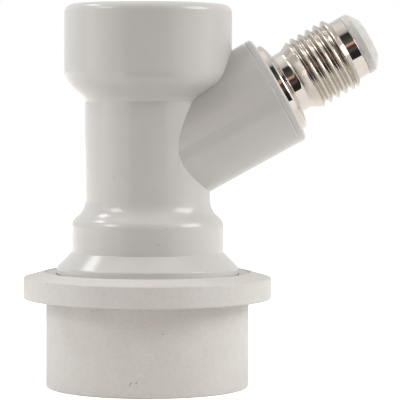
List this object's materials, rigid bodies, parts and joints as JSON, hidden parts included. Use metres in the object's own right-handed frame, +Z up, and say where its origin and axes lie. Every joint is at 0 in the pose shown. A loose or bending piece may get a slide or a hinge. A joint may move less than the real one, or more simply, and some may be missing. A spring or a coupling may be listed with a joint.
{
  "type": "ball lock disconnect",
  "caption": "Push-on ball lock coupling for a post fitting, with a sprung locking collar, a poppet valve under a screw cap and a slanted male flare stem.",
  "frame": {"origin": "on the body's axis, in the plane of the collar's lower face that the part stands on", "axes": "+Z up along the body's axis from the socket's mouth to the screw cap; +X towards the side that the arm leans to"},
  "size_m": [0.0517, 0.0362, 0.0557],
  "materials": {
    "body_plastic": "glossy moulded light warm grey",
    "collar_plastic": "fine matte, paler than the body",
    "stem_metal": "polished turned nickel tone",
    "washer_plastic": "translucent milky white",
    "ball_steel": "polished",
    "ring_steel": "stamped, satin",
    "spring_steel": "drawn wire",
    "pin_plastic": "satin moulded",
    "seal_rubber": "matte black"
  },
  "bodies": {
    "body": {"body": "body_plastic", "retaining_ring": "ring_steel", "flare_stem": "stem_metal", "stem_seal": "seal_rubber", "seat_washer": "washer_plastic", "collar_spring": "spring_steel", "valve_spring": "spring_steel"},
    "collar": {"collar": "collar_plastic"},
    "valve": {"valve_pin": "pin_plastic", "valve_seal": "seal_rubber"},
    "gasket": {"cap_gasket": "seal_rubber"},
    "cap": {"cap": "body_plastic"},
    "lock_ball_1": {"lock_ball_1": "ball_steel"},
    "lock_ball_2": {"lock_ball_2": "ball_steel"},
    "lock_ball_3": {"lock_ball_3": "ball_steel"},
    "lock_ball_4": {"lock_ball_4": "ball_steel"},
    "lock_ball_5": {"lock_ball_5": "ball_steel"},
    "lock_ball_6": {"lock_ball_6": "ball_steel"}
  },
  "joints": [
    {"name": "collar_lift", "type": "slide", "parent": "body", "child": "collar", "axis": [0, 0, 1], "range_m": [0, 0.0032], "stiffness_N_per_m": 1500, "springref_m": -0.007, "deforming": ["collar_spring"]},
    {"name": "valve_lift", "type": "slide", "parent": "body", "child": "valve", "axis": [0, 0, 1], "range_m": [0, 0.0026], "stiffness_N_per_m": 300, "springref_m": -0.006, "deforming": ["valve_spring"]},
    {"name": "cap_lift", "type": "slide", "parent": "body", "child": "gasket", "axis": [0, 0, 1], "range_m": [0, 0.005]},
    {"name": "cap_turn", "type": "hinge", "parent": "gasket", "child": "cap", "pos_m": [0, 0, 0.0544], "axis": [0, 0, 1], "range_deg": [0, 900]},
    {"name": "ball_1_out", "type": "slide", "parent": "body", "child": "lock_ball_1", "axis": [0.866, 0.5, 0], "range_m": [0, 0.00112]},
    {"name": "ball_2_out", "type": "slide", "parent": "body", "child": "lock_ball_2", "axis": [0, 1, 0], "range_m": [0, 0.00112]},
    {"name": "ball_3_out", "type": "slide", "parent": "body", "child": "lock_ball_3", "axis": [-0.866, 0.5, 0], "range_m": [0, 0.00112]},
    {"name": "ball_4_out", "type": "slide", "parent": "body", "child": "lock_ball_4", "axis": [-0.866, -0.5, 0], "range_m": [0, 0.00112]},
    {"name": "ball_5_out", "type": "slide", "parent": "body", "child": "lock_ball_5", "axis": [0, -1, 0], "range_m": [0, 0.00112]},
    {"name": "ball_6_out", "type": "slide", "parent": "body", "child": "lock_ball_6", "axis": [0.866, -0.5, 0], "range_m": [0, 0.00112]}
  ],
  "couplings": [
    {"joint": "cap_lift", "follows": "cap_turn", "m_per_rad": 0.0003183},
    {"joint": "ball_1_out", "follows": "collar_lift", "ratio": 0.35},
    {"joint": "ball_2_out", "follows": "collar_lift", "ratio": 0.35},
    {"joint": "ball_3_out", "follows": "collar_lift", "ratio": 0.35},
    {"joint": "ball_4_out", "follows": "collar_lift", "ratio": 0.35},
    {"joint": "ball_5_out", "follows": "collar_lift", "ratio": 0.35},
    {"joint": "ball_6_out", "follows": "collar_lift", "ratio": 0.35}
  ]
}
